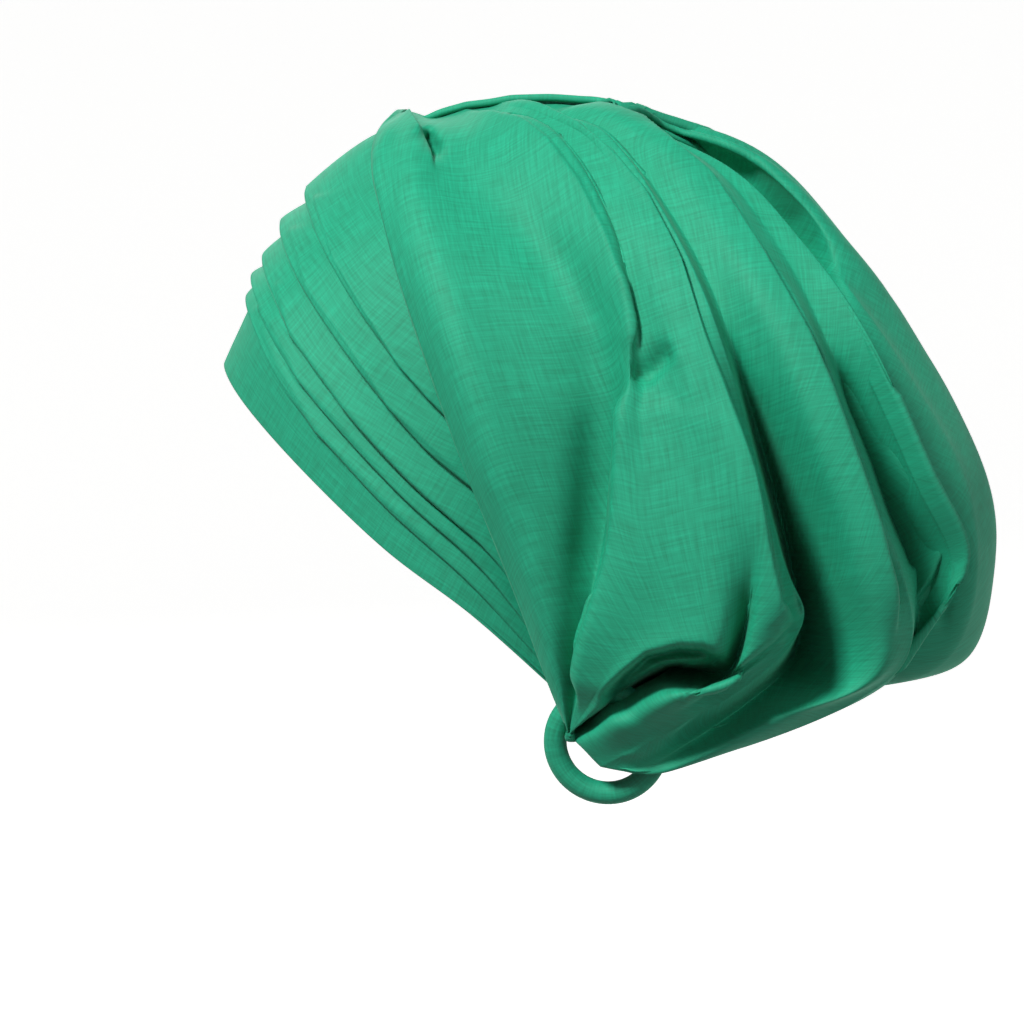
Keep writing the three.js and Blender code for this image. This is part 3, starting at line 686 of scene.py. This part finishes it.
# Forehead band
# A strip of the same cloth wound round the front from side to side, laid in five knife pleats that
# overlap upwards. Its lower edge is a turned hem, and its upper part runs on beneath the drapes.
HEAD_HALF_WIDTH = 0.074
HEAD_RISE = 0.097
HEAD_DROP = 0.215
PLEAT_STEP = 0.0026
PLEAT_SHADOW = 0.0012
PLEAT_LIE = 0.0002
HEM_TURN = 0.0022
BAND_STEPS = 260
BAND_GRID = 0.0012
BAND_MEETING = 0.01
BAND_STATIONS = ["end", "ear", "cheek", "temple", "brow", "centre"]
PLEAT_TAPER = dict(end=0.3, ear=0.6, cheek=0.85, temple=1, brow=1, centre=1)
BAND_PLEATS = [
    dict(pleat="hem", layers=0.2, end=(0.458, 0.150), ear=(0.361, 0.255), cheek=(0.250, 0.349),
         temple=(0.130, 0.468), brow=(0.040, 0.560), centre=(0.001, 0.601)),
    dict(pleat="first", layers=1.0, end=(0.459, 0.172), ear=(0.362, 0.302), cheek=(0.247, 0.421),
         temple=(0.129, 0.563), brow=(0.068, 0.663), centre=(0.039, 0.700)),
    dict(pleat="second", layers=1.3, end=(0.462, 0.187), ear=(0.379, 0.320), cheek=(0.266, 0.442),
         temple=(0.150, 0.580), brow=(0.080, 0.687), centre=(0.048, 0.729)),
    dict(pleat="third", layers=1.5, end=(0.466, 0.204), ear=(0.389, 0.344), cheek=(0.284, 0.462),
         temple=(0.172, 0.599), brow=(0.099, 0.710), centre=(0.064, 0.757)),
    dict(pleat="fourth", layers=1.6, end=(0.477, 0.242), ear=(0.400, 0.401), cheek=(0.301, 0.507),
         temple=(0.203, 0.636), brow=(0.126, 0.746), centre=(0.087, 0.805)),
    dict(pleat="fifth", layers=1.6, end=(0.496, 0.287), ear=(0.420, 0.453), cheek=(0.321, 0.559),
         temple=(0.229, 0.680), brow=(0.158, 0.790), centre=(0.119, 0.852)),
    dict(pleat="crown", layers=0.6, end=(0.515, 0.332), ear=(0.451, 0.512), cheek=(0.357, 0.675),
         temple=(0.273, 0.815), brow=(0.225, 0.900), centre=(0.200, 0.935)),
    dict(pleat="cap_edge", layers=0, end=(0.530, 0.372), ear=(0.480, 0.560), cheek=(0.400, 0.740),
         temple=(0.330, 0.880), brow=(0.300, 0.930), centre=(0.290, 0.948)),
]
# The pleats' sharp edges, along the photograph's pixels.
BAND_CREASES = [
    dict(name="first_edge", kind="lap", width=2.6, height=0.9, lean=0.9, taper=(0.1, 0.02),
         line=[(450, 559), (384, 500), (315, 429), (276, 364), (253, 305)]),
    dict(name="second_edge", kind="lap", width=2.6, height=0.9, lean=0.9, taper=(0.1, 0.02),
         line=[(496, 580), (430, 513), (361, 447), (299, 378), (267, 314)]),
    dict(name="third_edge", kind="lap", width=2.6, height=0.9, lean=0.9, taper=(0.1, 0.02),
         line=[(475, 552), (411, 486), (347, 410), (292, 334), (274, 281)]),
    dict(name="fourth_edge", kind="lap", width=3.2, height=1.1, lean=1.1, taper=(0.1, 0.02),
         line=[(469, 481), (391, 408), (338, 330), (307, 287), (290, 226)]),
    dict(name="fifth_edge", kind="lap", width=3.6, height=1.1, lean=1.1, taper=(0.1, 0.02),
         line=[(443, 412), (400, 364), (365, 311), (334, 258), (314, 195)]),
]


def band_line(row, proud, slide):
    """A pleat's stations on the band's rounded seat, this much proud of it, slid down by this much."""
    half = []
    for name in BAND_STATIONS:
        along, up = row[name]
        y = along * LENGTH - HEAD_HALF_LENGTH
        z = up * HEIGHT - slide - HEAD_TO_HEM
        reach = HEAD_RISE if z > 0 else HEAD_DROP
        left = max(1 - (y / HEAD_HALF_LENGTH) ** 2 - (z / reach) ** 2, 0)
        x = HEAD_HALF_WIDTH * math.sqrt(left)
        out = np.array((x / HEAD_HALF_WIDTH ** 2, y / HEAD_HALF_LENGTH ** 2, z / reach ** 2))
        spot = np.array((x, y, z)) + out / np.linalg.norm(out) * proud * PLEAT_TAPER[name]
        if name == "centre":
            spot[0] = 0
        half.append(spot)
    return np.array(half + [spot * np.array((-1, 1, 1)) for spot in half[-2::-1]])


band_lines = []
band_rounds = []
for row in BAND_PLEATS:
    if row["pleat"] == "hem":
        band_lines.append(band_line(row, -HEM_TURN, -HEM_TURN))
        band_rounds.append(0.5)
    elif row["pleat"] not in ("crown", "cap_edge"):
        band_lines.append(band_line(row, PLEAT_LIE, PLEAT_SHADOW))
        band_rounds.append(0.1)
    band_lines.append(band_line(row, row["layers"] * PLEAT_STEP, 0))
    band_rounds.append(0.8)
band_folds = fold_lines(band_lines, BAND_STEPS, level=False)
band_smooth = cloth_between(band_folds, band_rounds, fold_parts(band_folds, BAND_GRID))
# Both halves have the same creases, and they meet softly over the middle of the front.
left_share = np.clip(band_smooth[..., :1] / BAND_MEETING + 0.5, 0, 1)
left_half = press_creases(band_smooth, False, BAND_CREASES)
right_half = press_creases(band_smooth * mirror, True, BAND_CREASES) * mirror
band_face = left_share * left_half + (1 - left_share) * right_half
band_cloth = woven_emerald("woven_emerald_band")
forehead_band = cloth_sheet("forehead_band_cloth", band_face, band_smooth, band_cloth, flip=False)
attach(forehead_band, "root")
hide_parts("forehead_band")


# Nape ring
# A round cord covered with the same cloth and closed to a ring, sewn behind the left gather.
RING_RADIUS = 0.0174
RING_TUBE = 0.0039
RING_LEAN = 0.12
RING_STEPS = 96
TUBE_STEPS = 24
ring_low, ring_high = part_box("nape_ring")
ring_centre = (Vector(ring_low) + Vector(ring_high)) / 2

ring = bmesh.new()
section = bmesh.ops.create_circle(ring, segments=TUBE_STEPS, radius=RING_TUBE)["verts"]
quarter_turn = math.radians(90)
bmesh.ops.rotate(ring, verts=section, cent=(0, 0, 0), matrix=Matrix.Rotation(quarter_turn, 3, "X"))
bmesh.ops.translate(ring, verts=section, vec=(RING_RADIUS, 0, 0))
bmesh.ops.spin(ring, geom=ring.verts[:] + ring.edges[:], axis=(0, 0, 1), cent=(0, 0, 0),
               steps=RING_STEPS, angle=math.tau, use_merge=True)
bmesh.ops.remove_doubles(ring, verts=ring.verts, dist=1e-6)
bmesh.ops.rotate(ring, verts=ring.verts, cent=(0, 0, 0),
                 matrix=Matrix.Rotation(quarter_turn + RING_LEAN, 3, "Y"))
bmesh.ops.translate(ring, verts=ring.verts, vec=ring_centre)
bmesh.ops.recalc_face_normals(ring, faces=ring.faces)
# The flat cloth of the cord: its length along one way, its girth along the other.
flat = ring.loops.layers.uv.new("flat_cloth")
for loop in (loop for patch in ring.faces for loop in patch.loops):
    spot = loop.vert.co - ring_centre
    turn = math.atan2(spot.z, spot.y)
    girth = math.atan2(spot.x, math.hypot(spot.y, spot.z) - RING_RADIUS)
    loop[flat].uv = (turn * RING_RADIUS, girth * RING_TUBE)
ring_cloth = woven_emerald("woven_emerald_ring")
nape_ring = add_object("nape_ring_cord", ring, ring_cloth)
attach(nape_ring, "root")
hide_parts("nape_ring")
